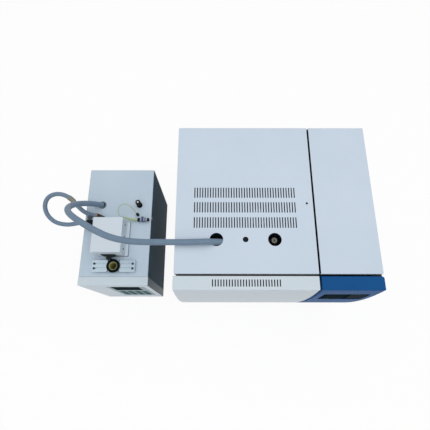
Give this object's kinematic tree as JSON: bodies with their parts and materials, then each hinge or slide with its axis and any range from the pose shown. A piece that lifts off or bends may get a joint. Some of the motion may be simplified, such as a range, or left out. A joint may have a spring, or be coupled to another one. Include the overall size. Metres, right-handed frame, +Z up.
{
  "type": "gas chromatograph",
  "caption": "Bench gas chromatograph: stirred oven behind a crowned swing door, control fascia, vented covers with injection ports, and a headspace sampler joined by a heated hose.",
  "frame": {"origin": "on the bench, at the middle of the footprint of both cabinets, hoses left out", "axes": "+X to the right seen from the front, +Y to the rear, +Z up"},
  "size_m": [1.0432, 0.559, 0.5966],
  "materials": {
    "galvanised_steel": "galvanised",
    "rubber": "moulded",
    "cabinet_paint": "fine powder coat",
    "dark_paint": "matt paint",
    "screw_steel": "zinc plated",
    "door_plastic": "fine texture",
    "stainless_steel": "brushed",
    "woven_seal": "woven glass fibre",
    "mineral_wool": "loose fibre",
    "heater_sheath": "heat-darkened",
    "column_amber": "polyimide coated",
    "aluminium": "machined",
    "black_plastic": "moulded",
    "brass": "machined",
    "blue_plastic": "fine texture",
    "window_gloss": "glossy film",
    "circuit_board": "solder mask",
    "transformer_steel": "laminated",
    "sampler_paint": "fine powder coat",
    "bezel_plastic": "fine texture",
    "membrane": "printed film",
    "polished_steel": "polished",
    "black_anodised": "black anodised",
    "black_rubber": "moulded",
    "grey_hose": "smooth jacket",
    "earth_insulation": "pvc"
  },
  "bodies": {
    "cabinet": {"base_plate": "galvanised_steel", "rubber_feet": "rubber", "left_side_panel": "cabinet_paint", "right_side_panel": "cabinet_paint", "front_bulkhead": "dark_paint", "bay_partition": "dark_paint", "rear_panel": "cabinet_paint", "oven_top_cover": "cabinet_paint", "electronics_top_cover": "cabinet_paint", "panel_screws": "screw_steel", "hinge_brackets": "screw_steel", "oven_liner": "stainless_steel", "oven_insulation": "mineral_wool", "oven_casing": "galvanised_steel", "fan_motor": "dark_paint", "fan_shroud": "stainless_steel", "heater_coil": "heater_sheath", "column_cage": "stainless_steel", "column_coil": "column_amber", "injector_bodies": "stainless_steel", "septum_nut": "stainless_steel", "injector_heater_blocks": "aluminium", "middle_port_plug": "black_plastic", "flame_detector": "stainless_steel", "exhaust_duct": "galvanised_steel", "gas_fittings": "brass", "power_entry": "black_plastic", "cooling_fan_frame": "black_plastic", "control_fascia": "blue_plastic", "display_window": "window_gloss", "main_board": "circuit_board", "power_transformer": "transformer_steel", "sampler_chassis": "cabinet_paint", "sampler_cover": "sampler_paint", "sampler_bezel": "bezel_plastic", "sampler_key_panel": "membrane", "sampler_screen": "window_gloss", "valve_cover": "sampler_paint", "vial_plate": "polished_steel", "well_flange": "black_anodised", "well_liner": "brass", "vial_heater": "aluminium", "thumb_bracket": "black_anodised", "vent_valve": "polished_steel", "deck_fittings": "polished_steel", "hose_glands": "black_rubber", "transfer_adapter": "stainless_steel", "transfer_hose": "grey_hose", "loop_hose": "grey_hose", "earth_wire": "earth_insulation"},
    "oven_door": {"door_shell": "door_plastic", "door_liner": "stainless_steel", "door_gasket": "woven_seal", "door_hinge_leaves": "screw_steel"},
    "oven_fan": {"fan_shaft": "screw_steel", "fan_impeller": "stainless_steel"},
    "exhaust_flap": {"exhaust_flap": "galvanised_steel"},
    "power_rocker": {"power_rocker": "black_plastic"},
    "cooling_rotor": {"cooling_fan_rotor": "black_plastic"},
    "vent_knob": {"vent_knob": "black_plastic"}
  },
  "joints": [
    {"name": "oven_door_hinge", "type": "hinge", "parent": "cabinet", "child": "oven_door", "pos_m": [-0.141, -0.2235, 0.25], "axis": [0, 0, -1], "range_deg": [0, 105]},
    {"name": "oven_fan_spin", "type": "hinge", "parent": "cabinet", "child": "oven_fan", "pos_m": [0.066, -0.0042, 0.21], "axis": [0, 1, 0], "continuous": true},
    {"name": "exhaust_flap_hinge", "type": "hinge", "parent": "cabinet", "child": "exhaust_flap", "pos_m": [0.15, 0.2645, 0.3336], "axis": [1, 0, 0], "range_deg": [0, 60]},
    {"name": "power_rocker_tilt", "type": "hinge", "parent": "cabinet", "child": "power_rocker", "pos_m": [0.4175, 0.2512, 0.104], "axis": [1, 0, 0], "range_deg": [0, 22]},
    {"name": "cooling_fan_spin", "type": "hinge", "parent": "cabinet", "child": "cooling_rotor", "pos_m": [0.367, 0.2382, 0.33], "axis": [0, 1, 0], "continuous": true},
    {"name": "vent_knob_turn", "type": "hinge", "parent": "cabinet", "child": "vent_knob", "pos_m": [-0.279, 0.0275, 0.3935], "axis": [0, 0, 1], "range_deg": [0, 720]}
  ]
}
